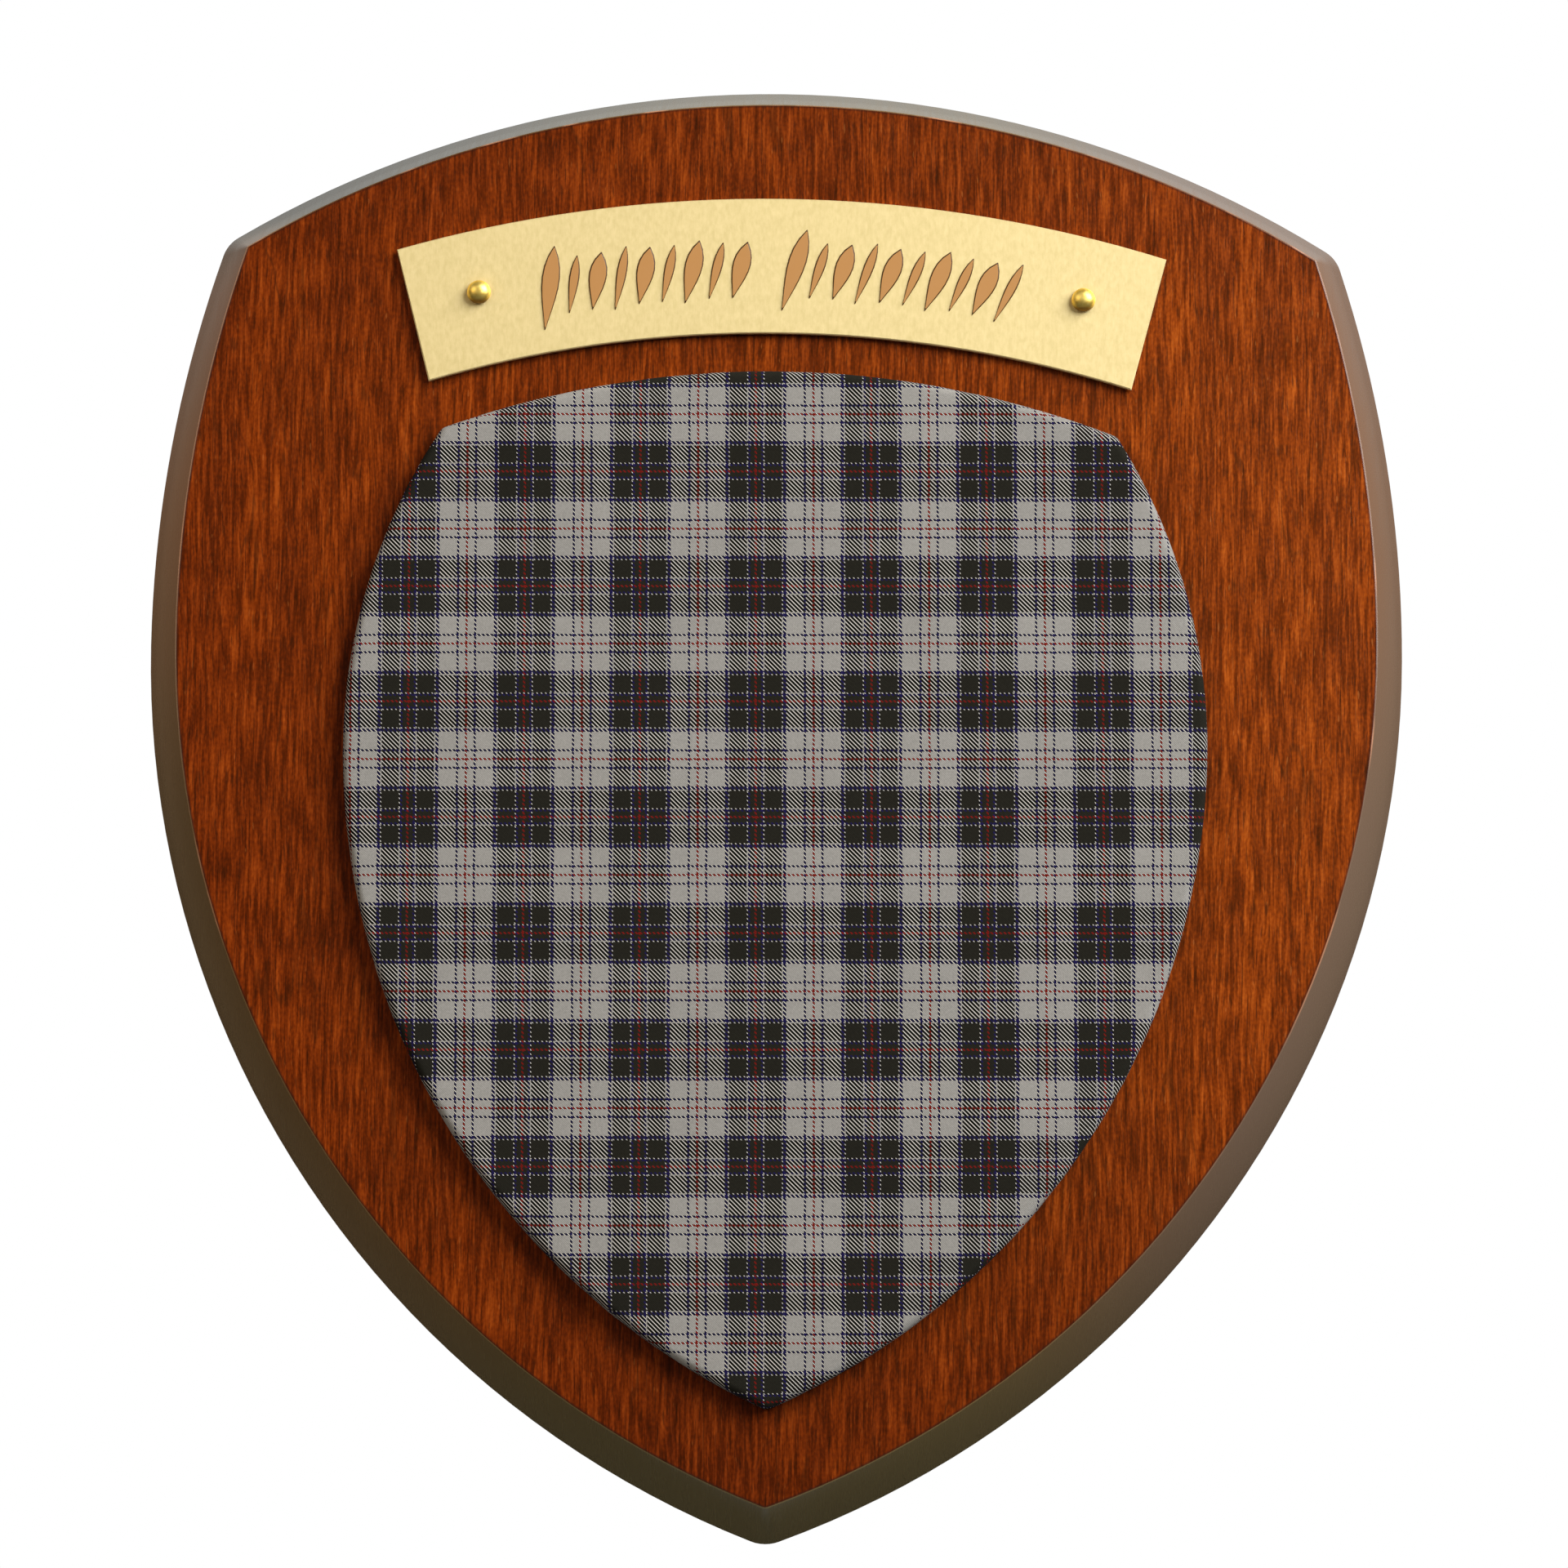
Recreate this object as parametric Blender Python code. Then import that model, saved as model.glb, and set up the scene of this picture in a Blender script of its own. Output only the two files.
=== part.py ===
"""Shield-shaped wooden wall plaque with a raised tartan panel and a pinned brass name plate.

Metres, +Z up. The front faces -Y and the flat back lies on y = 0. x = 0 is the plane of symmetry,
and the origin is the middle of the back, half way up.
"""

from collections import namedtuple
from math import asin, atan2, cos, hypot, pi, radians, sin, sqrt

import bmesh
import bpy
from mathutils import Vector

MM = 0.001
GAP = 0.3 * MM  # clearance that pieces which rest on each other keep
SHARP_ANGLE = radians(32)

# Every shield is half_width wide each way at widest_z. Its sides are two arcs that meet there, its
# top is one arc through top_z, and its corners and its tip are rounded.
Shield = namedtuple(
    "Shield",
    "half_width widest_z upper_radius lower_radius top_radius top_z corner_radius tip_radius",
)
Steps = namedtuple("Steps", "top corner upper lower tip")

BOARD = Shield(76.2 * MM, 19.3 * MM, 155.4 * MM, 115.3 * MM, 127.0 * MM, 88.9 * MM, 4.2 * MM, 4.8 * MM)
BOARD_STEPS = Steps(22, 6, 18, 42, 3)
BOARD_THICKNESS = 12.0 * MM
BOARD_LAND = 1.5 * MM  # upright edge behind the bevel
BEVEL_WIDTH = 3.6 * MM
BACK_EASE = 0.3 * MM
FRONT_EASE = 0.3 * MM

PANEL = Shield(51.9 * MM, 6.1 * MM, 71.0 * MM, 87.1 * MM, 114.3 * MM, 51.8 * MM, 1.8 * MM, 1.4 * MM)
PANEL_STEPS = Steps(16, 4, 14, 30, 3)
PANEL_HEIGHT = 3.0 * MM  # how far it stands out of the board's face
PANEL_ROUNDING = 1.0 * MM
PANEL_ROUNDING_STEPS = 4

PLATE_TOP_RADIUS = 161.0 * MM
PLATE_WIDTH = 16.6 * MM  # across the band, so the lower edge is an arc round the same centre
PLATE_TOP_Z = 73.3 * MM
PLATE_TOP_HALF_SPAN = 46.65 * MM
PLATE_LOWER_HALF_SPAN = 42.5 * MM
PLATE_THICKNESS = 0.8 * MM
PLATE_EASE = 0.12 * MM
PLATE_STEPS = 34

# The inscription's place holds two groups of raised drop-shaped strokes on the plate's middle arc.
STROKE_ARC_RADIUS = 152.2 * MM
STROKE_GROUPS = ((-28.2 * MM, 9), (1.6 * MM, 10))  # where each group starts, and its strokes
STROKE_PITCH = 2.9 * MM
STROKE_LENGTH = 7.4 * MM
FIRST_STROKE_LENGTH = 10.4 * MM
STROKE_UNEVENNESS = 0.07  # share by which the others differ in length
STROKE_PHASE = 2.1
STROKE_WIDTHS = (2.0 * MM, 1.1 * MM)  # broad and narrow by turns
STROKE_SWELL = 0.5  # how much broader a stroke is above its middle than below it
STROKE_SLANT = radians(16)
STROKE_RELIEF = 0.22 * MM
STROKE_EASE = 0.16 * MM
STROKE_ROOT = 0.3 * MM  # how deep a stroke reaches into the plate
STROKE_END_HALF_WIDTH = 0.05 * MM
STROKE_STEPS = 8

PIN_X = 36.6 * MM
PIN_Z = 61.2 * MM
PIN_HEAD_RADIUS = 1.45 * MM
PIN_HEAD_HEIGHT = 1.25 * MM
PIN_SHANK_RADIUS = 0.6 * MM
PIN_SHANK_LENGTH = 6.5 * MM  # below the head
PIN_POINT_LENGTH = 1.4 * MM
PIN_POINT_RADIUS = 0.12 * MM
PIN_HEAD_EDGE = 0.1 * MM  # upright rim under the dome
PIN_SIDES = 28
PIN_DOME_STEPS = 8
PIN_HOLE_DEPTH = 6.2 * MM

# The back has a keyhole slot for a screw head: a round entry, and above it a narrow mouth with a
# wider groove behind it.
KEYHOLE_Z = 40.0 * MM
KEYHOLE_TRAVEL = 13.0 * MM
KEYHOLE_ENTRY_RADIUS = 5.0 * MM
KEYHOLE_MOUTH_RADIUS = 2.5 * MM
KEYHOLE_DEPTH = 7.0 * MM
KEYHOLE_LIP = 2.5 * MM
KEYHOLE_STEPS = 12

BOARD_FACE = -BOARD_THICKNESS
PLATE_BACK = BOARD_FACE - GAP
PLATE_FACE = PLATE_BACK - PLATE_THICKNESS
PIN_SEAT = PLATE_FACE - GAP


def clear_scene():
    for item in list(bpy.data.objects):
        bpy.data.objects.remove(item)


def material(name, colour, roughness, metallic=0.0):
    made = bpy.data.materials.new(name)
    made.use_nodes = True
    made.diffuse_color = (*colour, 1.0)
    shader = made.node_tree.nodes["Principled BSDF"]
    shader.inputs["Base Color"].default_value = (*colour, 1.0)
    shader.inputs["Roughness"].default_value = roughness
    shader.inputs["Metallic"].default_value = metallic
    return made


def arc(centre_x, centre_z, radius, start, end, steps):
    """Points from start up to, but without, end."""
    angles = [start + (end - start) * step / steps for step in range(steps)]
    return [(centre_x + radius * cos(a), centre_z + radius * sin(a)) for a in angles]


def inset(shield, distance):
    """The parallel shield that lies this far inside."""
    return Shield(
        shield.half_width - distance,
        shield.widest_z,
        shield.upper_radius - distance,
        shield.lower_radius - distance,
        shield.top_radius - distance,
        shield.top_z - distance,
        shield.corner_radius - distance,
        shield.tip_radius - distance,
    )


def corner_centre(shield):
    """Centre of the arc that touches the top arc and the upper side arc from inside."""
    top_z = shield.top_z - shield.top_radius
    side_x = shield.half_width - shield.upper_radius
    from_top = shield.top_radius - shield.corner_radius
    from_side = shield.upper_radius - shield.corner_radius
    across, up = side_x, shield.widest_z - top_z
    apart = hypot(across, up)
    along = (from_top**2 - from_side**2 + apart**2) / (2 * apart)
    off = sqrt(from_top**2 - along**2)
    return (
        (across * along + up * off) / apart,
        top_z + (up * along - across * off) / apart,
    )


def shield_outline(shield, steps):
    """Closed outline in x and z, clockwise as the front shows it, from the top's middle."""
    top_z = shield.top_z - shield.top_radius
    upper_x = shield.half_width - shield.upper_radius
    lower_x = shield.half_width - shield.lower_radius
    corner_x, corner_z = corner_centre(shield)
    tip_z = shield.widest_z - sqrt((shield.lower_radius - shield.tip_radius) ** 2 - lower_x**2)
    top_end = atan2(corner_z - top_z, corner_x)
    side_start = atan2(corner_z - shield.widest_z, corner_x - upper_x)
    side_end = atan2(tip_z - shield.widest_z, -lower_x)
    right = arc(0, top_z, shield.top_radius, pi / 2, top_end, steps.top)
    right += arc(corner_x, corner_z, shield.corner_radius, top_end, side_start, steps.corner)
    right += arc(upper_x, shield.widest_z, shield.upper_radius, side_start, 0, steps.upper)
    right += arc(lower_x, shield.widest_z, shield.lower_radius, 0, side_end, steps.lower)
    right += arc(0, tip_z, shield.tip_radius, side_end, -pi / 2, steps.tip)
    tip = (0, tip_z - shield.tip_radius)
    left = [(-x, z) for x, z in reversed(right[1:])]
    return right + [tip] + left


def at_depth(outline, y):
    return [Vector((x, y, z)) for x, z in outline]


def skin(name, loops, finish):
    """Closed object through loops of equal length, with a flat cap on the first and the last."""
    mesh = bmesh.new()
    rings = [[mesh.verts.new(point) for point in loop] for loop in loops]
    for low, high in zip(rings, rings[1:]):
        for i, vertex in enumerate(low):
            mesh.faces.new((low[i - 1], vertex, high[i], high[i - 1]))
    mesh.faces.new(rings[0])
    mesh.faces.new(rings[-1])
    bmesh.ops.recalc_face_normals(mesh, faces=mesh.faces)
    data = bpy.data.meshes.new(name)
    mesh.to_mesh(data)
    mesh.free()
    data.shade_smooth()
    data.set_sharp_from_angle(angle=SHARP_ANGLE)
    if finish:
        data.materials.append(finish)
    made = bpy.data.objects.new(name, data)
    bpy.context.scene.collection.objects.link(made)
    return made


def combine(target, operation, shape):
    """Cuts the shape from the target, or joins it on, by a Boolean modifier."""
    shape.hide_render = True
    shape.display_type = "WIRE"
    modifier = target.modifiers.new(shape.name, "BOOLEAN")
    modifier.operation = operation
    modifier.solver = "EXACT"
    modifier.object = shape


def circle(radius, y, sides):
    turns = [2 * pi * side / sides for side in range(sides)]
    return [Vector((radius * cos(a), y, radius * sin(a))) for a in turns]


def stadium(radius, low_z, high_z, y):
    """Round-ended slot outline that stands upright, with its ends centred at low_z and high_z."""
    turns = [pi * (step + 0.5) / KEYHOLE_STEPS for step in range(KEYHOLE_STEPS)]
    upper = [Vector((radius * cos(a), y, high_z + radius * sin(a))) for a in turns]
    lower = [Vector((-radius * cos(a), y, low_z - radius * sin(a))) for a in turns]
    return upper + lower


def cut_keyhole(board):
    past_back = BACK_EASE
    high_z = KEYHOLE_Z + KEYHOLE_TRAVEL
    shapes = (
        ("keyhole_entry", KEYHOLE_ENTRY_RADIUS, KEYHOLE_Z, past_back),
        ("keyhole_mouth", KEYHOLE_MOUTH_RADIUS, high_z, past_back),
        ("keyhole_groove", KEYHOLE_ENTRY_RADIUS, high_z, -KEYHOLE_LIP),
    )
    for name, radius, top, start in shapes:
        loops = [stadium(radius, KEYHOLE_Z, top, y) for y in (start, -KEYHOLE_DEPTH)]
        combine(board, "DIFFERENCE", skin(name, loops, None))


def cut_pin_holes(target, name, start, end):
    for side, x in (("left", -PIN_X), ("right", PIN_X)):
        loops = [circle(PIN_SHANK_RADIUS + GAP, y, PIN_SIDES // 2) for y in (start, end)]
        cutter = skin(f"{name}_{side}", loops, None)
        cutter.location = (x, 0, PIN_Z)
        combine(target, "DIFFERENCE", cutter)


def make_board(finish):
    """Flat board with a steep bevel all round, a short upright edge behind it and a keyhole."""
    face_inset = BEVEL_WIDTH + FRONT_EASE
    profile = (
        (BACK_EASE, 0),
        (0, -BACK_EASE),
        (0, -BOARD_LAND),
        (BEVEL_WIDTH, BOARD_FACE + FRONT_EASE),
        (BEVEL_WIDTH + FRONT_EASE / 3, BOARD_FACE + FRONT_EASE / 3),
        (face_inset, BOARD_FACE),
    )
    loops = [at_depth(shield_outline(inset(BOARD, depth), BOARD_STEPS), y) for depth, y in profile]
    board = skin("shield_board", loops, finish)
    cut_keyhole(board)
    cut_pin_holes(board, "board_pin_hole", BOARD_FACE - GAP, BOARD_FACE + PIN_HOLE_DEPTH)
    return board


def make_panel(finish):
    """Raised panel with the cloth drawn over its rounded edge."""
    back = BOARD_FACE - GAP
    front = BOARD_FACE - PANEL_HEIGHT
    profile = [(0, back)]
    for step in range(PANEL_ROUNDING_STEPS + 1):
        turn = pi / 2 * step / PANEL_ROUNDING_STEPS
        depth = PANEL_ROUNDING * (1 - cos(turn))
        profile.append((depth, front + PANEL_ROUNDING * (1 - sin(turn))))
    loops = [at_depth(shield_outline(inset(PANEL, depth), PANEL_STEPS), y) for depth, y in profile]
    return skin("tartan_panel", loops, finish)


def band_edge(radius, half_span, distance):
    """Half the angle that a band's edge covers when its ends are moved in by this distance."""
    return asin((half_span - distance) / radius)


def plate_outline(distance):
    """Curved band this far inside the plate's full outline, from its top left corner round."""
    centre_z = PLATE_TOP_Z - PLATE_TOP_RADIUS
    upper = PLATE_TOP_RADIUS - distance
    lower = PLATE_TOP_RADIUS - PLATE_WIDTH + distance
    upper_turn = band_edge(upper, PLATE_TOP_HALF_SPAN, distance)
    lower_turn = band_edge(lower, PLATE_LOWER_HALF_SPAN, distance)
    points = []
    for radius, turn in ((upper, upper_turn), (lower, -lower_turn)):
        for step in range(PLATE_STEPS + 1):
            a = turn * (2 * step / PLATE_STEPS - 1)
            points.append((radius * sin(a), centre_z + radius * cos(a)))
    return points


def stroke_outline(length, width, distance):
    """Drop with pointed ends, as (across, along) points about its own middle."""
    half = length / 2 - 2 * distance
    right = []
    for step in range(STROKE_STEPS + 1):
        t = 2 * step / STROKE_STEPS - 1
        swell = (1 - t * t) * (1 + STROKE_SWELL * t)
        right.append(((width / 2 - distance) * swell + STROKE_END_HALF_WIDTH, half * t))
    left = [(-across, along) for across, along in reversed(right)]
    return right + left


def make_stroke(name, arc_x, length, width):
    turn = arc_x / STROKE_ARC_RADIUS
    lean = STROKE_SLANT + turn
    centre_z = PLATE_TOP_Z - PLATE_TOP_RADIUS
    middle_x = STROKE_ARC_RADIUS * sin(turn)
    middle_z = centre_z + STROKE_ARC_RADIUS * cos(turn)
    loops = []
    for distance, y in (
        (0, PLATE_FACE + STROKE_ROOT),
        (0, PLATE_FACE - STROKE_RELIEF + STROKE_EASE),
        (STROKE_EASE, PLATE_FACE - STROKE_RELIEF),
    ):
        loop = []
        for across, along in stroke_outline(length, width, distance):
            x = middle_x + across * cos(lean) + along * sin(lean)
            z = middle_z - across * sin(lean) + along * cos(lean)
            loop.append(Vector((x, y, z)))
        loops.append(loop)
    return skin(name, loops, None)


def add_strokes(plate):
    for group, (start, count) in enumerate(STROKE_GROUPS):
        for i in range(count):
            uneven = 1 + STROKE_UNEVENNESS * cos(STROKE_PHASE * i)
            length = STROKE_LENGTH * uneven if i else FIRST_STROKE_LENGTH
            name = f"stroke_{group + 1}_{i + 1}"
            stroke = make_stroke(name, start + i * STROKE_PITCH, length, STROKE_WIDTHS[i % 2])
            combine(plate, "UNION", stroke)


def make_plate(finish):
    """Thin brass band with softened front edges, two pin holes and the raised strokes."""
    profile = (
        (0, PLATE_BACK),
        (0, PLATE_FACE + PLATE_EASE),
        (PLATE_EASE, PLATE_FACE),
    )
    loops = [at_depth(plate_outline(distance), y) for distance, y in profile]
    plate = skin("name_plate", loops, finish)
    cut_pin_holes(plate, "plate_pin_hole", PLATE_FACE - GAP, PLATE_BACK + GAP)
    add_strokes(plate)
    return plate


def make_pin(name, x, finish):
    """Brass pin with a domed head, whose point is in the board."""
    profile = [
        (PIN_POINT_RADIUS, PIN_SEAT + PIN_SHANK_LENGTH),
        (PIN_SHANK_RADIUS, PIN_SEAT + PIN_SHANK_LENGTH - PIN_POINT_LENGTH),
        (PIN_SHANK_RADIUS, PIN_SEAT),
        (PIN_HEAD_RADIUS - PIN_HEAD_EDGE, PIN_SEAT),
    ]
    for step in range(PIN_DOME_STEPS):
        turn = pi / 2 * step / PIN_DOME_STEPS
        rise = PIN_HEAD_EDGE + (PIN_HEAD_HEIGHT - PIN_HEAD_EDGE) * sin(turn)
        profile.append((PIN_HEAD_RADIUS * cos(turn), PIN_SEAT - rise))
    pin = skin(name, [circle(radius, y, PIN_SIDES) for radius, y in profile], finish)
    pin.location = (x, 0, PIN_Z)
    return pin


def main():
    clear_scene()
    wood = material("stained_wood", (0.28, 0.062, 0.012), 0.32)
    cloth = material("tartan_cloth", (0.12, 0.11, 0.11), 0.9)
    plate_brass = material("satin_brass", (0.84, 0.70, 0.36), 0.38, 1.0)
    pin_brass = material("polished_brass", (0.83, 0.62, 0.18), 0.14, 1.0)
    make_board(wood)
    make_panel(cloth)
    make_plate(plate_brass)
    make_pin("pin_left", -PIN_X, pin_brass)
    make_pin("pin_right", PIN_X, pin_brass)


main()
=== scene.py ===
from collections import namedtuple
from math import atan2, cos, hypot, pi, radians, sin, sqrt

import bmesh
import bpy
from mathutils import Matrix, Vector, noise


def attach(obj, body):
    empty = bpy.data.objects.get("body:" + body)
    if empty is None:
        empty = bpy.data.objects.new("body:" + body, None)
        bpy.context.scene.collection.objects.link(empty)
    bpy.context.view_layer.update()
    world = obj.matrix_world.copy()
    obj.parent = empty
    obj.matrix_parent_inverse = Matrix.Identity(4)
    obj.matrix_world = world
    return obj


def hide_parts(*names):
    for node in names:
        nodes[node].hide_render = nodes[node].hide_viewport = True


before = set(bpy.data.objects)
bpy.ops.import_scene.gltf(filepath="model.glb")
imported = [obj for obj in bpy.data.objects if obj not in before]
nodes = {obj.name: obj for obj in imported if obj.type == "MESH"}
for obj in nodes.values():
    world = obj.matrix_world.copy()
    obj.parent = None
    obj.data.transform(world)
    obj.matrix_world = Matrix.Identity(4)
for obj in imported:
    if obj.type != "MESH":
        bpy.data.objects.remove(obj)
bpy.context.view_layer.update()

MM = 0.001

# The outlines, as in the part's source: sides of two arcs each that meet at widest_z, one arc along
# the top through top_z, and rounded corners and tip.
Shield = namedtuple(
    "Shield",
    "half_width widest_z upper_radius lower_radius top_radius top_z corner_radius tip_radius",
)
Steps = namedtuple("Steps", "top corner upper lower tip")
BOARD = Shield(
    76.2 * MM, 19.3 * MM, 155.4 * MM, 115.3 * MM, 127.0 * MM, 88.9 * MM, 4.2 * MM, 4.8 * MM
)
PANEL = Shield(51.9 * MM, 6.1 * MM, 71.0 * MM, 87.1 * MM, 114.3 * MM, 51.8 * MM, 1.8 * MM, 1.4 * MM)

# Faces along y, as in the part's source. The back is at 0, and the front looks towards -y.
BOARD_FACE = -12.0 * MM
PLATE_FACE = -13.1 * MM
CLOTH_FRONT = -15.0 * MM

# A noise texture: the size of its features in mm along x, y and z, its detail and its roughness.
Noise = namedtuple("Noise", "size detail roughness", defaults=(2.0, 0.5))
USUAL_NOISE = (0.3, 0.7)  # nearly all of a noise's values lie between these


def srgb(red, green, blue):
    """A colour given as 8-bit screen values, in linear light."""
    linear = []
    for value in (red, green, blue):
        c = value / 255
        linear.append(c / 12.92 if c <= 0.04045 else ((c + 0.055) / 1.055) ** 2.4)
    return (*linear, 1.0)


class Graph:
    """Adds shader nodes to a tree. A value may be a number, a colour, or another node's output."""

    def __init__(self, tree):
        self.tree = tree
        tree.nodes.clear()

    def put(self, socket, value):
        if isinstance(value, bpy.types.NodeSocket):
            self.tree.links.new(value, socket)
        else:
            socket.default_value = value

    def add(self, kind, inputs=None, **settings):
        node = self.tree.nodes.new(kind)
        for name, value in settings.items():
            setattr(node, name, value)
        for name, value in (inputs or {}).items():
            self.put(node.inputs[name], value)
        return node

    def math(self, operation, *values):
        node = self.add("ShaderNodeMath", operation=operation)
        for socket, value in zip(node.inputs, values):
            self.put(socket, value)
        return node.outputs[0]

    def total(self, *values):
        result = values[0]
        for value in values[1:]:
            result = self.math("ADD", result, value)
        return result

    def product(self, *values):
        result = values[0]
        for value in values[1:]:
            result = self.math("MULTIPLY", result, value)
        return result

    def weighted(self, *pairs):
        """The sum of each value times its share."""
        return self.total(*(self.product(value, share) for value, share in pairs))

    def ramp(self, value, stops, interpolation="LINEAR"):
        """stops are (place, colour) pairs in order."""
        node = self.add("ShaderNodeValToRGB", {"Fac": value})
        node.color_ramp.interpolation = interpolation
        elements = node.color_ramp.elements
        while len(elements) < len(stops):
            elements.new(1.0)
        for element, (place, colour) in zip(elements, stops):
            element.position = place
            element.color = colour
        return node.outputs["Color"]

    def span(self, value, low, high, to_low=0.0, to_high=1.0, smooth=False):
        """Maps low..high of the value to to_low..to_high, and holds the ends."""
        inputs = {
            "Value": value, "From Min": low, "From Max": high, "To Min": to_low, "To Max": to_high,
        }
        kind = "SMOOTHSTEP" if smooth else "LINEAR"
        return self.add("ShaderNodeMapRange", inputs, interpolation_type=kind).outputs["Result"]

    def mix(self, factor, first, second, blend="MIX"):
        node = self.add("ShaderNodeMix", data_type="RGBA", blend_type=blend)
        for place, value in ((0, factor), (6, first), (7, second)):
            self.put(node.inputs[place], value)
        return node.outputs[2]

    def tint(self, factor, colour, tint):
        """Multiplies the colour by the tint, as far as the factor goes."""
        return self.mix(factor, colour, tint, "MULTIPLY")

    def noise(self, vector, kind):
        """The value of a Noise, where the vector is a place in metres."""
        scale = [1 / (size * MM) for size in kind.size]
        place = self.add("ShaderNodeVectorMath", {0: vector, 1: scale}, operation="MULTIPLY")
        inputs = {
            "Vector": place.outputs[0],
            "Scale": 1.0,
            "Detail": kind.detail,
            "Roughness": kind.roughness,
        }
        return self.add("ShaderNodeTexNoise", inputs).outputs["Fac"]

    def position(self):
        """A point's place in its object's own axes, and the three parts of it."""
        place = self.add("ShaderNodeTexCoord").outputs["Object"]
        parts = self.add("ShaderNodeSeparateXYZ", {0: place}).outputs
        return place, parts["X"], parts["Y"], parts["Z"]

    def channel(self, colour, name):
        return self.add("ShaderNodeSeparateColor", {0: colour}).outputs[name]

    def bump(self, height, distance, strength):
        inputs = {"Height": height, "Distance": distance, "Strength": strength}
        return self.add("ShaderNodeBump", inputs).outputs["Normal"]

    def shader(self, **inputs):
        """The surface: inputs are the shader's sockets, with _ for each space."""
        named = {name.replace("_", " "): value for name, value in inputs.items()}
        surface = self.add("ShaderNodeBsdfPrincipled", named)
        self.add("ShaderNodeOutputMaterial", {"Surface": surface.outputs[0]})


def new_material(name):
    material = bpy.data.materials.new(name)
    material.use_nodes = True
    return material, Graph(material.node_tree)


def wear(item, material):
    """Gives an object this one material."""
    item.data.materials.clear()
    item.data.materials.append(material)


def object_from(name, mesh):
    data = bpy.data.meshes.new(name)
    mesh.to_mesh(data)
    mesh.free()
    data.shade_smooth()
    made = bpy.data.objects.new(name, data)
    bpy.context.scene.collection.objects.link(made)
    return made


# Outlines


def arc(centre_x, centre_z, radius, start, end, steps):
    """Points from start up to, but without, end."""
    angles = [start + (end - start) * step / steps for step in range(steps)]
    return [(centre_x + radius * cos(a), centre_z + radius * sin(a)) for a in angles]


def inset(shield, distance):
    """The parallel shield that lies this far inside, or outside if negative."""
    return Shield(
        shield.half_width - distance,
        shield.widest_z,
        shield.upper_radius - distance,
        shield.lower_radius - distance,
        shield.top_radius - distance,
        shield.top_z - distance,
        shield.corner_radius - distance,
        shield.tip_radius - distance,
    )


def corner_centre(shield):
    """Centre of the arc that touches the top arc and the upper side arc from inside."""
    top_z = shield.top_z - shield.top_radius
    side_x = shield.half_width - shield.upper_radius
    from_top = shield.top_radius - shield.corner_radius
    from_side = shield.upper_radius - shield.corner_radius
    across, up = side_x, shield.widest_z - top_z
    apart = hypot(across, up)
    along = (from_top**2 - from_side**2 + apart**2) / (2 * apart)
    off = sqrt(from_top**2 - along**2)
    return (
        (across * along + up * off) / apart,
        top_z + (up * along - across * off) / apart,
    )


def shield_outline(shield, steps):
    """Closed outline in x and z, clockwise as the front shows it, from the top's middle."""
    top_z = shield.top_z - shield.top_radius
    upper_x = shield.half_width - shield.upper_radius
    lower_x = shield.half_width - shield.lower_radius
    corner_x, corner_z = corner_centre(shield)
    tip_z = shield.widest_z - sqrt((shield.lower_radius - shield.tip_radius) ** 2 - lower_x**2)
    top_end = atan2(corner_z - top_z, corner_x)
    side_start = atan2(corner_z - shield.widest_z, corner_x - upper_x)
    side_end = atan2(tip_z - shield.widest_z, -lower_x)
    right = arc(0, top_z, shield.top_radius, pi / 2, top_end, steps.top)
    right += arc(corner_x, corner_z, shield.corner_radius, top_end, side_start, steps.corner)
    right += arc(upper_x, shield.widest_z, shield.upper_radius, side_start, 0, steps.upper)
    right += arc(lower_x, shield.widest_z, shield.lower_radius, 0, side_end, steps.lower)
    right += arc(0, tip_z, shield.tip_radius, side_end, -pi / 2, steps.tip)
    tip = (0, tip_z - shield.tip_radius)
    left = [(-x, z) for x, z in reversed(right[1:])]
    return right + [tip] + left


def polygon_area(outline):
    pairs = zip(outline, outline[1:] + outline[:1])
    return abs(sum(x0 * z1 - x1 * z0 for (x0, z0), (x1, z1) in pairs)) / 2


# Wood

# Noises of the stained face, all longer along z than along x, as the grain is.
WAVER = Noise((9, 30, 44), 2.5)
GRAIN = Noise((0.48, 9, 6.5), 2.6, 0.66)
BANDS = Noise((2.4, 9, 36), 3.0)
CLOUDS = Noise((5, 9, 11), 4.0, 0.65)
SPECKLE = Noise((0.26, 9, 0.5), 0.5)
PORES = Noise((0.22, 9, 2.8), 0.5)
FLECKS = Noise((0.3, 9, 1.6), 0.0)
FIGURE = Noise((5, 9, 44))
WAVER_REACH = 1.7 * MM
TONE_SHARES = (0.50, 0.18, 0.18, 0.14)  # of the grain, bands, clouds and speckle
WOOD_TONES = (
    (0.36, srgb(64, 23, 0)),
    (0.46, srgb(98, 35, 0)),
    (0.54, srgb(134, 53, 2)),
    (0.64, srgb(170, 77, 12)),
)

# Each is a span: two values of a noise, and how much of the colour shows at each of them.
LINES_SHOW = (0.42, 0.56, 0.0, 0.5)
LINE_EDGE = (0.002, 0.012, 1.0, 0.0)
PORE_EDGE = (0.58, 0.70, 0.0, 0.55)
FLECK_EDGE = (0.76, 0.82, 0.0, 0.22)
LINE_COLOUR = srgb(64, 27, 2)
PORE_COLOUR = srgb(52, 20, 0)
FLECK_COLOUR = srgb(200, 118, 56)
FINE_HEIGHT = 0.5  # how far the grain stands out, against how deep the pores are
FACE_ROUGHNESS = (0.22, 0.30)
FACE_BUMP = (0.02 * MM, 0.35)  # the distance and strength of a bump

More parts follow.
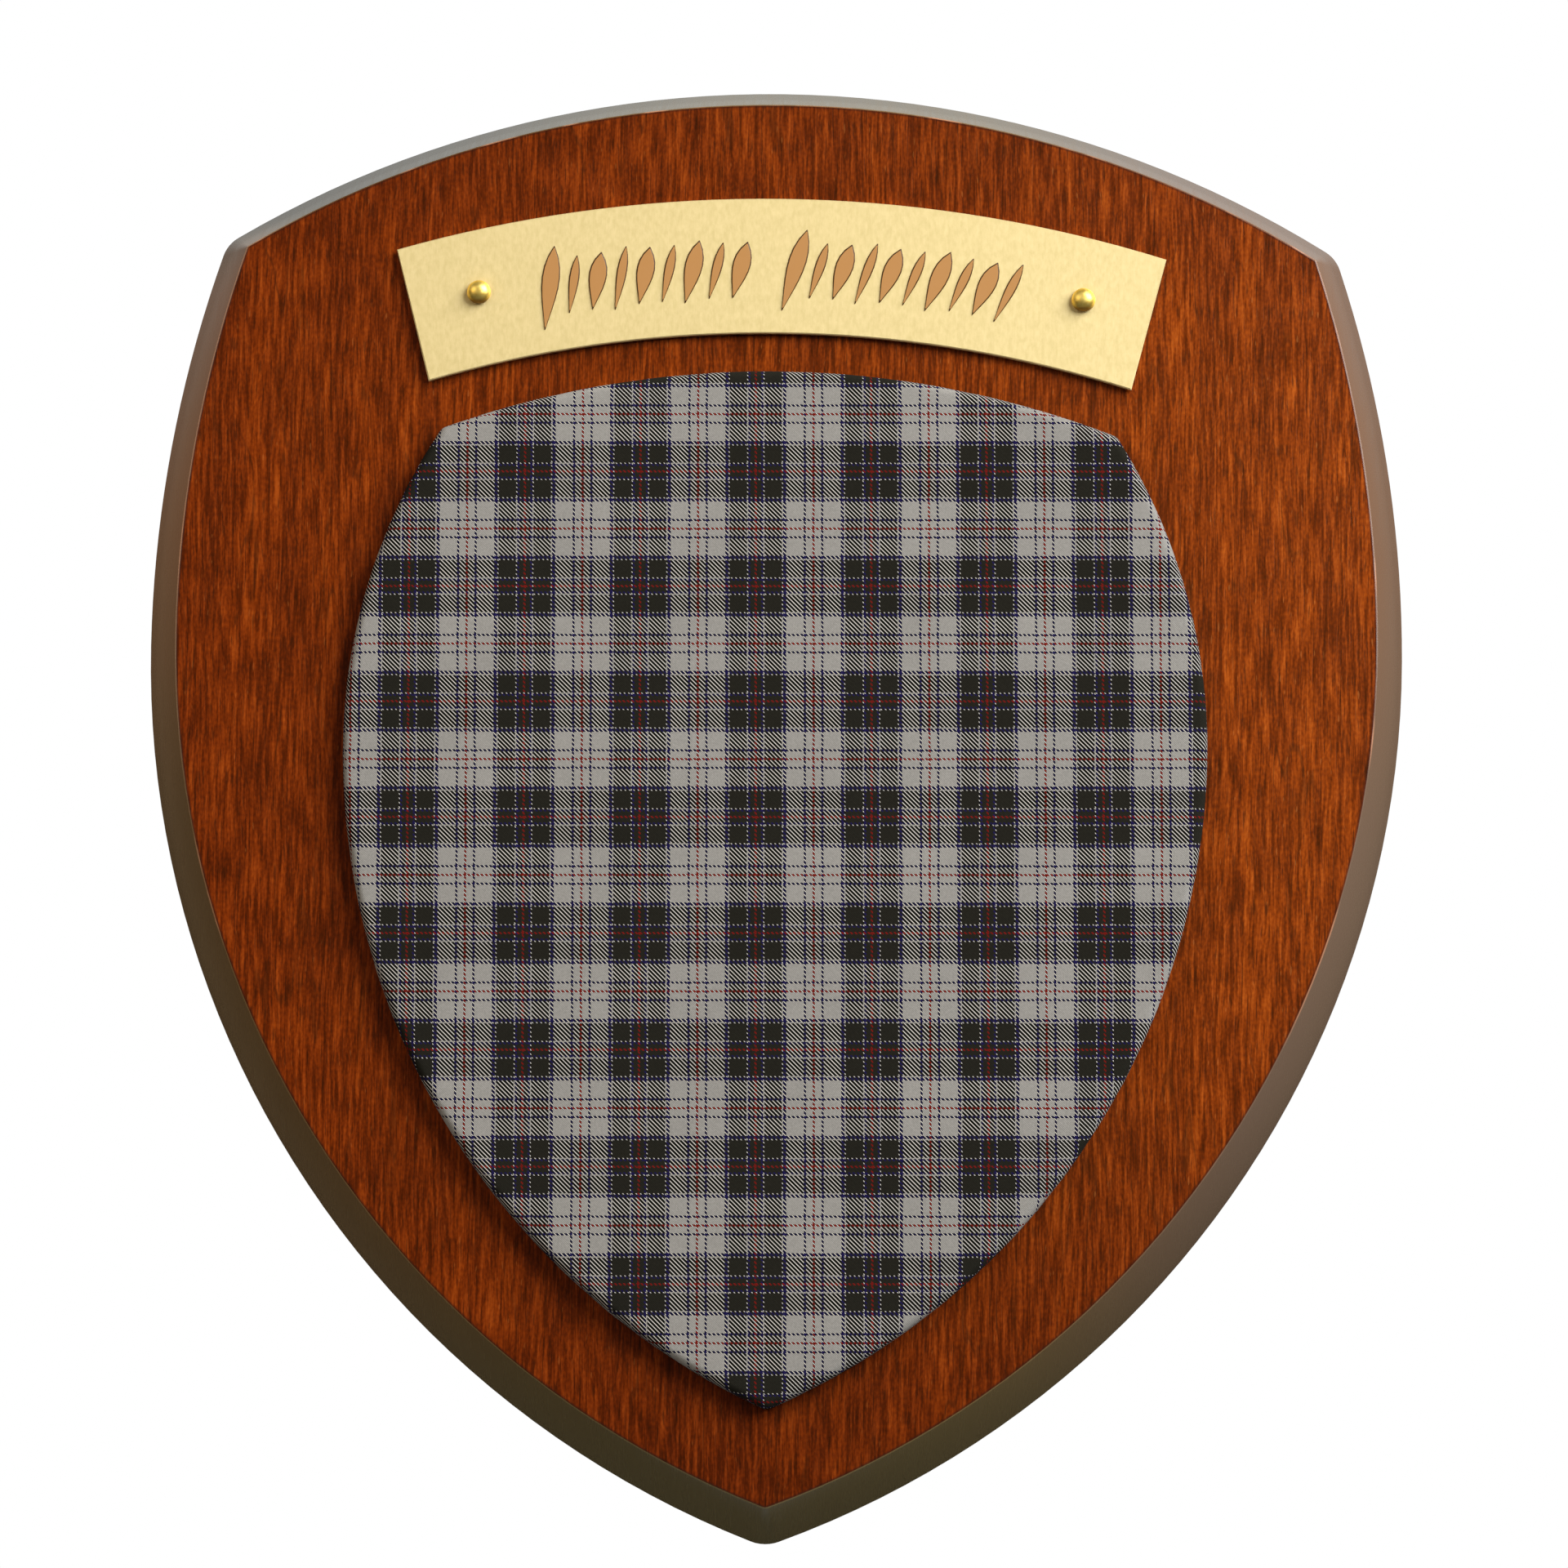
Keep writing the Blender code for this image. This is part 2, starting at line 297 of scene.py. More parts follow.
# Painted light and shade: the face is painted lighter towards the upper right and darker towards
# the lower left, as the light falls. It is also darker at the head and the foot.
LEFT_PAINTED_SHADE = (0.84, 0.77, 0.70, 1.0)
RIGHT_PAINTED_LIGHT = (1.16, 1.30, 1.38, 1.0)
PAINTED_LIGHT_REACH = 70 * MM
PAINTED_LIGHT_LEAN = 0.3
HEAD_DARKENING = (0.84, 0.79, 0.73, 1.0)
HEAD_Z = (45 * MM, 85 * MM)
FOOT_DARKENING = (0.74, 0.68, 0.60, 1.0)
FOOT_Z = (-45 * MM, -85 * MM)
FOOT_LEAN = 0.4  # towards the right, the foot's darkening begins higher up

BEVEL_INSET = 3.9 * MM  # from the board's outline to the edge of its flat face
RIM_COLOUR = srgb(52, 20, 10)
RIM_WIDTH = 0.28 * MM
RIM_SHARE = 0.65

# The lacquer on the bevel: two colours that mix in clouds, and painted light and shade over them
# in order: tones for the lit right side, a lighter left side, a darker left part of the top and a
# darker foot. Each has its colour, how well it covers, and the spans of x or z in mm over which it
# sets in.
LACQUER = (srgb(112, 87, 56), srgb(124, 97, 64))
LACQUER_CLOUDS = Noise((11, 11, 11), 4.0)
BEVEL_PAINTED_LIGHT_AND_SHADE = (
    (srgb(115, 93, 77), 1.0, (("x", 20, 60),)),
    (srgb(118, 80, 51), 1.0, (("x", 20, 60), ("z", -8, 45))),
    (srgb(166, 120, 92), 1.0, (("x", -45, -68), ("z", -8, 45), ("z", 73, 62))),
    (srgb(88, 58, 28), 0.7, (("x", 0, -45), ("z", 68, 73))),
    (srgb(107, 93, 60), 0.9, (("z", -52, -82),)),
)
# A pale line along the arris: partly wear and partly a painted highlight.
WEAR_AND_HIGHLIGHT_COLOUR = srgb(196, 138, 104)
WEAR_AND_HIGHLIGHT_PATCHES = Noise((5, 5, 14), 3.0)
WEAR_AND_HIGHLIGHT_EDGE = (0.50, 0.62, 0.0, 0.8)
WEAR_AND_HIGHLIGHT_Z = (-50 * MM, -10 * MM)  # the arris is worn, and a highlight is painted on it, above this
ARRIS_Y = (BOARD_FACE + 0.05 * MM, BOARD_FACE + 0.3 * MM)
FACE_Y = (BOARD_FACE + 0.02 * MM, BOARD_FACE + 0.06 * MM)

# The back and the keyhole are bare wood, stained once.
BARE = Noise((1.2, 20, 22), 4.0, 0.6)
BARE_TONES = ((0.3, srgb(92, 52, 28)), (0.7, srgb(150, 96, 58)))
BACK_Y = (-0.12 * MM, -0.04 * MM)
KEYHOLE_REACH_X = 7 * MM
KEYHOLE_FLOOR_Y = -7.5 * MM
KEYHOLE_LOW_Z = 30 * MM
KEYHOLE_HIGH_Z = 65 * MM


def distance_inside(graph, shield, x, z):
    """How far a point of the face lies inside the shield's outline, by its distance to each arc."""
    side = graph.math("ABSOLUTE", x)
    distances = []
    for centre_x, centre_z, radius in (
        (0.0, shield.top_z - shield.top_radius, shield.top_radius),
        (shield.half_width - shield.upper_radius, shield.widest_z, shield.upper_radius),
        (shield.half_width - shield.lower_radius, shield.widest_z, shield.lower_radius),
    ):
        across = graph.math("SUBTRACT", side, centre_x)
        up = graph.math("SUBTRACT", z, centre_z)
        squares = graph.total(graph.math("POWER", across, 2.0), graph.math("POWER", up, 2.0))
        distances.append(graph.math("SUBTRACT", radius, graph.math("SQRT", squares)))
    top, upper, lower = distances
    above = graph.math("GREATER_THAN", z, shield.widest_z)
    sides = graph.total(lower, graph.product(above, graph.math("SUBTRACT", upper, lower)))
    return graph.math("MINIMUM", top, sides)


def grain_colour(graph, place, x, z):
    """Fine upright streaks, broad darker bands, growth lines, open pores and a few pale flecks.

    Gives the colour, the grain's noise and how strongly each pore shows.
    """
    waver = graph.math("SUBTRACT", graph.noise(place, WAVER), 0.5)
    bent_x = graph.total(x, graph.product(waver, WAVER_REACH))
    bent = graph.add("ShaderNodeCombineXYZ", {"X": bent_x, "Y": 0.0, "Z": z}).outputs[0]
    grain = graph.noise(bent, GRAIN)
    bands = graph.noise(bent, BANDS)
    clouds = graph.noise(bent, CLOUDS)
    speckle = graph.noise(bent, SPECKLE)
    tone = graph.weighted(*zip((grain, bands, clouds, speckle), TONE_SHARES))
    colour = graph.ramp(tone, WOOD_TONES)

    # A growth line is where the figure passes its middle value. The lines come and go.
    off_line = graph.math("ABSOLUTE", graph.math("SUBTRACT", graph.noise(bent, FIGURE), 0.5))
    shows = graph.span(clouds, *LINES_SHOW)
    line = graph.product(graph.span(off_line, *LINE_EDGE, smooth=True), shows)
    colour = graph.mix(line, colour, LINE_COLOUR)
    pores = graph.span(graph.noise(bent, PORES), *PORE_EDGE)
    colour = graph.mix(pores, colour, PORE_COLOUR)
    flecks = graph.span(graph.noise(bent, FLECKS), *FLECK_EDGE)
    return graph.mix(flecks, colour, FLECK_COLOUR), grain, pores


def stained(graph, colour, x, z):
    """The face's colour: painted light and shade across it, darker head and foot, a darker rim by
    the bevel.
    """
    slanted = graph.total(x, graph.product(z, PAINTED_LIGHT_LEAN))
    # painted light towards the upper right and painted shade towards the lower left, along a
    # slanted line
    thin = graph.span(slanted, -PAINTED_LIGHT_REACH, PAINTED_LIGHT_REACH)
    colour = graph.tint(1.0, colour, graph.mix(thin, LEFT_PAINTED_SHADE, RIGHT_PAINTED_LIGHT))
    colour = graph.tint(graph.span(z, *HEAD_Z, smooth=True), colour, HEAD_DARKENING)
    lean = graph.product(graph.math("MAXIMUM", x, 0.0), FOOT_LEAN)
    at_foot = graph.span(graph.math("SUBTRACT", z, lean), *FOOT_Z, smooth=True)
    colour = graph.tint(at_foot, colour, FOOT_DARKENING)
    inside = distance_inside(graph, inset(BOARD, BEVEL_INSET), x, z)
    rim = graph.span(inside, 0.0, RIM_WIDTH, RIM_SHARE, 0.0, smooth=True)
    return graph.mix(rim, colour, RIM_COLOUR)


def lacquer_and_painted_light(graph, place, x, y, z):
    """Opaque dark lacquer on the bevel, with painted light and shade by side; worn thin, with a
    painted highlight, in places along the arris.
    """
    colour = graph.mix(graph.noise(place, LACQUER_CLOUDS), *LACQUER)
    axes = {"x": x, "z": z}
    # painted light and shade on the bevel, side by side
    for painted_tone, share, spans in BEVEL_PAINTED_LIGHT_AND_SHADE:
        edges = [graph.span(axes[a], start * MM, end * MM, smooth=True) for a, start, end in spans]
        colour = graph.mix(graph.product(share, *edges), colour, painted_tone)
    # a pale line along the arris, partly wear and partly a painted highlight
    worn = graph.span(graph.noise(place, WEAR_AND_HIGHLIGHT_PATCHES), *WEAR_AND_HIGHLIGHT_EDGE)
    rub_and_highlight = graph.product(graph.span(y, *ARRIS_Y, 1.0, 0.0), worn, graph.span(z, *WEAR_AND_HIGHLIGHT_Z))
    return graph.mix(rub_and_highlight, colour, WEAR_AND_HIGHLIGHT_COLOUR)


def bare_places(graph, x, y, z):
    """One on the back and in the keyhole, and zero elsewhere."""
    in_keyhole = graph.product(
        graph.math("LESS_THAN", graph.math("ABSOLUTE", x), KEYHOLE_REACH_X),
        graph.math("GREATER_THAN", y, KEYHOLE_FLOOR_Y),
        graph.math("GREATER_THAN", z, KEYHOLE_LOW_Z),
        graph.math("LESS_THAN", z, KEYHOLE_HIGH_Z),
    )
    return graph.math("MAXIMUM", graph.span(y, *BACK_Y), in_keyhole)


def dress_board(board):
    material, graph = new_material("stained_wood_look")
    place, x, y, z = graph.position()
    face, grain, pores = grain_colour(graph, place, x, z)
    on_face = graph.span(y, *FACE_Y, 1.0, 0.0)
    colour = graph.mix(on_face, lacquer_and_painted_light(graph, place, x, y, z), stained(graph, face, x, z))
    bare = graph.ramp(graph.noise(place, BARE), BARE_TONES)
    colour = graph.mix(bare_places(graph, x, y, z), colour, bare)
    relief = graph.math("SUBTRACT", graph.product(grain, FINE_HEIGHT), pores)
    graph.shader(
        Base_Color=colour,
        Roughness=graph.span(grain, *USUAL_NOISE, *FACE_ROUGHNESS),
        Specular_IOR_Level=0.30,
        Normal=graph.bump(graph.product(on_face, relief), *FACE_BUMP),
    )
    wear(board, material)


# Cloth

# The cloth is drawn over the panel's rounded edge and turned in under it.
CLOTH_STEPS = Steps(32, 8, 28, 60, 6)
CLOTH_RINGS = 52
CLOTH_ROUNDING = 1.0 * MM
CLOTH_ROUNDING_STEPS = 8
CLOTH_FOOT = BOARD_FACE - 0.05 * MM
CLOTH_TURN_IN = 2.0 * MM
HEM_BEND = 0.35 * MM  # from the edge to where the hem lies flat
FOOT_CORNER = (0.08 * MM, 0.1 * MM)  # the side's foot: how far in, and how far off the hem
SWELL = 0.05 * MM  # how far the front sinks between its highest places
SWELL_SIZE = 8 * MM
SETTLE_RINGS = 4  # the swell fades out over these rings at the edge
WOBBLE = 0.09 * MM  # how far the side sinks in
WOBBLE_SIZE = 3.2 * MM

# The tartan: thread counts of half a sett, from the middle of the pale block to the middle of the
# dark one. Warp and weft are alike.
HALF_SETT = (
    ("red", 1), ("white", 6), ("navy", 2), ("white", 16), ("navy", 3), ("white", 1),
    ("black", 16), ("white", 1), ("navy", 2), ("black", 4), ("red", 1),
)
HALF_SETT_THREADS = sum(count for _, count in HALF_SETT)
WARP_COLOURS = {
    "red": (98, 22, 17), "white": (138, 136, 132), "navy": (27, 23, 66), "black": (32, 31, 26),
}
WEFT_COLOURS = {
    "red": (100, 22, 18), "white": (137, 135, 131), "navy": (25, 22, 62), "black": (31, 30, 25),
}
THREAD_ACROSS = 13.904 * MM / (2 * HALF_SETT_THREADS)
THREAD_UP = 14.014 * MM / (2 * HALF_SETT_THREADS)
FIRST_RED_X = 4.687 * MM  # the middle of a red line in a pale block, along the turned cloth
FIRST_RED_Z = 4.328 * MM
CLOTH_TURN = radians(0.74)  # the cloth was stretched very slightly out of square with the panel
TWILL_OVER = 2  # threads that each thread passes over, and then as many under
FLOAT_MIDDLE = TWILL_OVER - 0.5

# Painted light and shade on the twill: how a float's brightness rises from painted shade at its
# edge to a painted highlight at its crest. Between like threads it is a range. Where pale thread
# crosses dark it starts from nothing, and its crest depends on the thread's red: it is brighter on
# a white or red thread than on a black or navy one.
LIKE_PAINTED_SHADING = (0.55, 1.34)
PAINTED_CREST_START = 0.40
PAINTED_CREST_BY_RED = (0.03, 0.12, 0.9, 2.45)
PALE_GREEN = 0.1  # a pale thread has more green than this
THREAD_TONES = (0.90, 1.10)
CLOTH_PATCHES = Noise((14, 14, 14))
PATCH_TONES = (0.95, 1.04)
FUZZ = Noise((0.09, 0.09, 0.09))
FUZZ_HEIGHT = 0.4
CLOTH_BUMP = (0.03 * MM, 0.35)


def thread_colour(graph, thread, colours):
    """The colour of the thread with this whole number, by the mirrored stripes of half a sett."""
    middle = graph.total(thread, 0.5)
    folded = graph.math("PINGPONG", middle, HALF_SETT_THREADS)
    stops = []
    done = 0
    for name, count in HALF_SETT:
        stops.append((done / HALF_SETT_THREADS, srgb(*colours[name])))
        done += count
    return graph.ramp(graph.math("DIVIDE", folded, HALF_SETT_THREADS), stops, "CONSTANT")


def thread_places(graph, flat):
    """Where a point of the flat cloth lies, counted in warp threads across and weft threads up."""
    parts = graph.add("ShaderNodeSeparateXYZ", {0: flat}).outputs
    x, z = parts["X"], parts["Y"]
    turned_x = graph.weighted((x, cos(CLOTH_TURN)), (z, sin(CLOTH_TURN)))
    turned_z = graph.weighted((z, cos(CLOTH_TURN)), (x, -sin(CLOTH_TURN)))
    across = graph.math("DIVIDE", graph.math("SUBTRACT", turned_x, FIRST_RED_X), THREAD_ACROSS)
    up = graph.math("DIVIDE", graph.math("SUBTRACT", turned_z, FIRST_RED_Z), THREAD_UP)
    return across, up


def float_painted_light_and_shade(graph, across, up, warp_on_top, colour, warp_colour, weft_colour):
    """Painted light and shade on the diagonal ridges of a twill, strongest where pale thread
    crosses dark.
    """
    warp_pale, weft_pale = (
        graph.math("GREATER_THAN", graph.channel(thread, "Green"), PALE_GREEN)
        for thread in (warp_colour, weft_colour)
    )
    unlike = graph.math("ABSOLUTE", graph.math("SUBTRACT", warp_pale, weft_pale))
    diagonal = graph.math("SUBTRACT", graph.total(across, up), FLOAT_MIDDLE)
    wave = graph.math("COSINE", graph.product(diagonal, pi / TWILL_OVER))
    ridge = graph.product(wave, graph.span(warp_on_top, 0.0, 1.0, -1.0, 1.0))
    crest = graph.span(graph.channel(colour, "Red"), *PAINTED_CREST_BY_RED)
    painted_crest = graph.product(graph.span(ridge, PAINTED_CREST_START, 1.0, smooth=True), crest)
    return graph.mix(unlike, graph.span(ridge, -1.0, 1.0, *LIKE_PAINTED_SHADING), painted_crest)


def thread_unevenness(graph, flat, warp, weft, warp_on_top):
    """Grey that makes each thread a little lighter or darker than the next."""
    thread = graph.add("ShaderNodeCombineXYZ", {"X": warp, "Y": weft, "Z": warp_on_top})
    inputs = {"Vector": thread.outputs[0]}
    odd = graph.add("ShaderNodeTexWhiteNoise", inputs, noise_dimensions="3D").outputs["Value"]
    patches = graph.span(graph.noise(flat, CLOTH_PATCHES), *USUAL_NOISE, *PATCH_TONES)
    uneven = graph.product(graph.span(odd, 0.0, 1.0, *THREAD_TONES), patches)
    return graph.add("ShaderNodeCombineColor", {0: uneven, 1: uneven, 2: uneven}).outputs[0]


def thread_height(graph, flat, across, up, warp_on_top):
    """Round threads, and fuzz over them."""
    warp_round, weft_round = (
        graph.math("SINE", graph.product(graph.math("FRACT", place), pi)) for place in (across, up)
    )
    swap = graph.product(warp_on_top, graph.math("SUBTRACT", warp_round, weft_round))
    return graph.total(weft_round, swap, graph.product(graph.noise(flat, FUZZ), FUZZ_HEIGHT))


def dress_cloth(cloth):
    material, graph = new_material("tartan_cloth_look")
    flat = graph.add("ShaderNodeUVMap", uv_map="flat_cloth").outputs["UV"]
    across, up = thread_places(graph, flat)
    warp = graph.math("FLOOR", across)
    weft = graph.math("FLOOR", up)

    # Two over, two under: the diagonals run down to the right.
    step = graph.math("FLOORED_MODULO", graph.total(warp, weft), 2.0 * TWILL_OVER)
    warp_on_top = graph.math("LESS_THAN", step, TWILL_OVER - 0.5)
    warp_colour = thread_colour(graph, warp, WARP_COLOURS)
    weft_colour = thread_colour(graph, weft, WEFT_COLOURS)
    colour = graph.mix(warp_on_top, weft_colour, warp_colour)
    relief = float_painted_light_and_shade(graph, across, up, warp_on_top, colour, warp_colour, weft_colour)
    # painted highlight on each float's crest and painted shade in the grooves between floats
    colour = graph.tint(1.0, colour, relief)
    colour = graph.tint(1.0, colour, thread_unevenness(graph, flat, warp, weft, warp_on_top))
    height = thread_height(graph, flat, across, up, warp_on_top)
    graph.shader(
        Base_Color=colour,
        Roughness=0.88,
        Specular_IOR_Level=0.02,
        Sheen_Weight=0.01,
        Sheen_Roughness=0.5,
        Normal=graph.bump(height, *CLOTH_BUMP),
    )
    wear(cloth, material)


def cloth_profile():
    """(inset, y, length of cloth past the flat front) from the hem under the panel to the front."""
    side = CLOTH_FRONT + CLOTH_ROUNDING
    around = CLOTH_ROUNDING * pi / 2
    drop = CLOTH_FOOT - side
    corner_in, corner_up = FOOT_CORNER
    profile = [
        (CLOTH_TURN_IN, CLOTH_FOOT, around + drop + CLOTH_TURN_IN),
        (HEM_BEND, CLOTH_FOOT, around + drop + HEM_BEND),
        (corner_in, CLOTH_FOOT - corner_up, around + drop),
    ]
    for share in (0.75, 0.5, 0.25):
        profile.append((0.0, side + drop * share, around + drop * share))
    for step in range(CLOTH_ROUNDING_STEPS + 1):
        turn = pi / 2 * step / CLOTH_ROUNDING_STEPS
        profile.append(
            (
                CLOTH_ROUNDING * (1 - cos(turn)),
                side - CLOTH_ROUNDING * sin(turn),
                CLOTH_ROUNDING * (pi / 2 - turn),
            )
        )
    return profile


def add_cloth_rings(mesh, front, outward, middle):
    """Rings of (vertex, flat place) from the hem round the edge and in towards the middle."""
    rings = []
    for distance, y, past in cloth_profile():
        ring = []
        for (x, z), out in zip(front, outward):
            wobble = noise.noise(Vector((x, y / 2, z)) / WOBBLE_SIZE) * WOBBLE
            at = Vector((x, z)) + out * (CLOTH_ROUNDING - distance + min(wobble, 0.0))
            ring.append((mesh.verts.new((at.x, y, at.y)), Vector((x, z)) + out * past))
        rings.append(ring)
    for step in range(1, CLOTH_RINGS):
        share = 1 - step / CLOTH_RINGS
        settle = min(1.0, step / SETTLE_RINGS)
        ring = []
        for x, z in front:
            at = middle + (Vector((x, z)) - middle) * share
            swell = noise.noise(Vector((at.x, 0.0, at.y)) / SWELL_SIZE) * SWELL
            ring.append((mesh.verts.new((at.x, CLOTH_FRONT + abs(swell) * settle, at.y)), at))
        rings.append(ring)
    return rings


def make_cloth():
    """The cloth as one sheet: hem, side, rounded edge and front. Its UV map is its flat places."""
    front = shield_outline(inset(PANEL, CLOTH_ROUNDING), CLOTH_STEPS)
    outer = shield_outline(PANEL, CLOTH_STEPS)
    outward = [(Vector(a) - Vector(b)).normalized() for a, b in zip(outer, front)]
    middle = Vector((0.0, PANEL.widest_z))
    mesh = bmesh.new()
    rings = add_cloth_rings(mesh, front, outward, middle)
    centre = mesh.verts.new((middle.x, CLOTH_FRONT, middle.y))

    flat = {vertex: place for ring in rings for vertex, place in ring}
    flat[centre] = middle
    for low, high in zip(rings, rings[1:]):
        for i, (vertex, _) in enumerate(low):
            mesh.faces.new((low[i - 1][0], vertex, high[i][0], high[i - 1][0]))
    last = rings[-1]
    for i, (vertex, _) in enumerate(last):
        mesh.faces.new((last[i - 1][0], vertex, centre))
    uv = mesh.loops.layers.uv.new("flat_cloth")
    for face in mesh.faces:
        for loop in face.loops:
            loop[uv].uv = flat[loop.vert]
    bmesh.ops.recalc_face_normals(mesh, faces=mesh.faces)
    if centre.link_faces[0].normal.y > 0:
        bmesh.ops.reverse_faces(mesh, faces=mesh.faces)
    cloth = object_from("cloth_cover", mesh)

    past = cloth_profile()[0][2] - CLOTH_ROUNDING
    cut = shield_outline(inset(PANEL, -past), CLOTH_STEPS)
    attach(cloth, "root")
    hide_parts("tartan_panel")
    polygon_area(cut)
    return cloth


# Soft shading

SHARP_ANGLE = radians(20)
WELD_DISTANCE = 0.0005 * MM


def soften(*items):
    """Shades curved faces smooth and keeps edges over SHARP_ANGLE crisp. The shape stays."""
    group = bpy.data.node_groups.new("soft_shading", "GeometryNodeTree")
    group.interface.new_socket("Geometry", in_out="INPUT", socket_type="NodeSocketGeometry")
    group.interface.new_socket("Geometry", in_out="OUTPUT", socket_type="NodeSocketGeometry")
    add = group.nodes.new
    source = add("NodeGroupInput")
    weld = add("GeometryNodeMergeByDistance")
    weld.inputs["Distance"].default_value = WELD_DISTANCE
    clear = add("GeometryNodeRemoveAttribute")
    clear.inputs["Name"].default_value = "custom_normal"
    faces = add("GeometryNodeSetShadeSmooth")
    faces.domain = "FACE"
    angle = add("GeometryNodeInputMeshEdgeAngle")
    sharp = add("ShaderNodeMath")
    sharp.operation = "GREATER_THAN"
    sharp.inputs[1].default_value = SHARP_ANGLE
    edges = add("GeometryNodeSetShadeSmooth")
    edges.domain = "EDGE"
    edges.inputs["Shade Smooth"].default_value = False
    result = add("NodeGroupOutput")
    link = group.links.new
    chain = (source, weld, clear, faces, edges, result)
    for first, second in zip(chain, chain[1:]):
        link(first.outputs[0], second.inputs[0])
    link(angle.outputs["Unsigned Angle"], sharp.inputs[0])
    link(sharp.outputs[0], edges.inputs["Selection"])
    for item in items:
        item.modifiers.new("soft_shading", "NODES").node_group = group


# Brass

PLATE_MOTTLE = Noise((0.5, 0.5, 0.9), 3.0, 0.7)
PLATE_BRUSH = Noise((0.12, 0.5, 1.4))
MOTTLE_SHARE = 0.7  # in the colour, against the brush marks
PLATE_TONES = ((0.38, srgb(240, 219, 154)), (0.62, srgb(247, 226, 165)))
PLATE_METALLIC = 0.45
PLATE_ROUGHNESS = (0.42, 0.50)
PLATE_BUMP = (0.006 * MM, 0.2)
STROKE_RELIEF = 0.22 * MM
STROKE_ROOT_Y = (PLATE_FACE - 0.04 * MM, PLATE_FACE - 0.02 * MM)
STROKE_TOP_Y = (PLATE_FACE - 0.98 * STROKE_RELIEF, PLATE_FACE - 0.85 * STROKE_RELIEF)
ENAMEL = srgb(184, 132, 73)
ENAMEL_RIM = srgb(72, 44, 14)

PIN_Z = 61.2 * MM
PIN_TARNISH = Noise((0.5, 0.5, 0.5), 3.0)
PIN_TONES = ((0.35, srgb(250, 212, 100)), (0.65, srgb(255, 228, 128)))
# Painted shade on the lower side of each pin's head.
PIN_PAINTED_SHADE = srgb(100, 60, 8)
PIN_PAINTED_SHADE_Z = (PIN_Z - 0.45 * MM, PIN_Z - 1.25 * MM)
PIN_PAINTED_SHADE_SHARE = 0.9
PIN_ROUGHNESS = (0.38, 0.46)


def dress_plate(plate):
    material, graph = new_material("satin_brass_look")
    place, _, y, _ = graph.position()
    mottle = graph.noise(place, PLATE_MOTTLE)
    brush = graph.noise(place, PLATE_BRUSH)
    metal = graph.ramp(graph.mix(MOTTLE_SHARE, brush, mottle), PLATE_TONES)

    # The raised strokes carry a copper-brown enamel with a darker rim.
    raised = graph.span(y, *STROKE_ROOT_Y, 1.0, 0.0)
    enamel = graph.mix(graph.span(y, *STROKE_TOP_Y, 1.0, 0.0), ENAMEL_RIM, ENAMEL)
    graph.shader(
        Base_Color=graph.mix(raised, metal, enamel),
        Metallic=graph.span(raised, 0.0, 1.0, PLATE_METALLIC, 0.0),
        Roughness=graph.span(mottle, *USUAL_NOISE, *PLATE_ROUGHNESS),
        Normal=graph.bump(graph.weighted((mottle, 0.5), (brush, 0.5)), *PLATE_BUMP),
    )
    wear(plate, material)


def dress_pins(*pins):
    """Polished brass, with painted shade darkening the lower side of each head."""
    material, graph = new_material("polished_brass_look")
    place, _, _, z = graph.position()
    tarnish = graph.noise(place, PIN_TARNISH)
    # painted shade on the lower side of each head
    painted_shade = graph.span(z, *PIN_PAINTED_SHADE_Z, 0.0, PIN_PAINTED_SHADE_SHARE, smooth=True)
    graph.shader(
        Base_Color=graph.mix(painted_shade, graph.ramp(tarnish, PIN_TONES), PIN_PAINTED_SHADE),
        Metallic=0.86,
        Roughness=graph.span(tarnish, *USUAL_NOISE, *PIN_ROUGHNESS),
    )
    for pin in pins:
        wear(pin, material)


# Studio

Light = namedtuple("Light", "name direction distance size power colour")
LIGHTS = (
    Light("key", (1.1, -1.0, 0.85), 1.1, 0.85, 21.6, (1.0, 1.0, 1.0)),
    Light("fill", (-1.0, -1.0, 0.5), 1.4, 0.9, 5.6, (1.0, 0.84, 0.66)),
)

# The light from around, by height: 0 is straight down, 0.5 level and 1 straight up.
BACKDROP = (
    (0.30, (0.05, 0.045, 0.03, 1.0)),
    (0.55, (0.17, 0.12, 0.07, 1.0)),
    (0.66, (0.40, 0.44, 0.44, 1.0)),
    (0.78, (0.76, 0.92, 0.94, 1.0)),
)
IN_FRONT = ((0.35, (0.03, 0.027, 0.02, 1.0)), (0.75, (0.09, 0.08, 0.06, 1.0)))
BEHIND_Y = (-0.1, 0.35)  # the backdrop's light takes over between these directions
LEFT_DROP = 0.13  # the far left is lit as if it were this much lower
SEEN_BACKDROP = (1.0, 1.0, 1.0, 1.0)

FLOOR_Z = -1.2
FLOOR_RADIUS = 1.1
FLOOR_SIDES = 160
FLOOR_TONES = (srgb(204, 204, 202), srgb(212, 212, 210))
FLOOR_CLOUDS = Noise((300, 300, 300))

CAMERA_DISTANCE = 982.0 * MM
CAMERA_AIM = Vector((1.12 * MM, BOARD_FACE, 1.75 * MM))
CAMERA_BELOW = radians(8.0)
CAMERA_ROLL = radians(0.75)
CAMERA_LENS = 187.5
CAMERA_CLIP_START = 0.01
SENSOR = 36.0


def add_light(light):
    """A square soft light that faces the plaque's middle from its direction."""
    data = bpy.data.lights.new(light.name, "AREA")
    data.shape = "SQUARE"
    data.size = light.size
    data.energy = light.power
    data.color = light.colour
    lamp = bpy.data.objects.new(light.name, data)
    away = Vector(light.direction).normalized()
    lamp.location = Vector((0.0, BOARD_FACE, 0.0)) + away * light.distance
    lamp.rotation_euler = away.to_track_quat("Z", "Y").to_euler()
    bpy.context.scene.collection.objects.link(lamp)


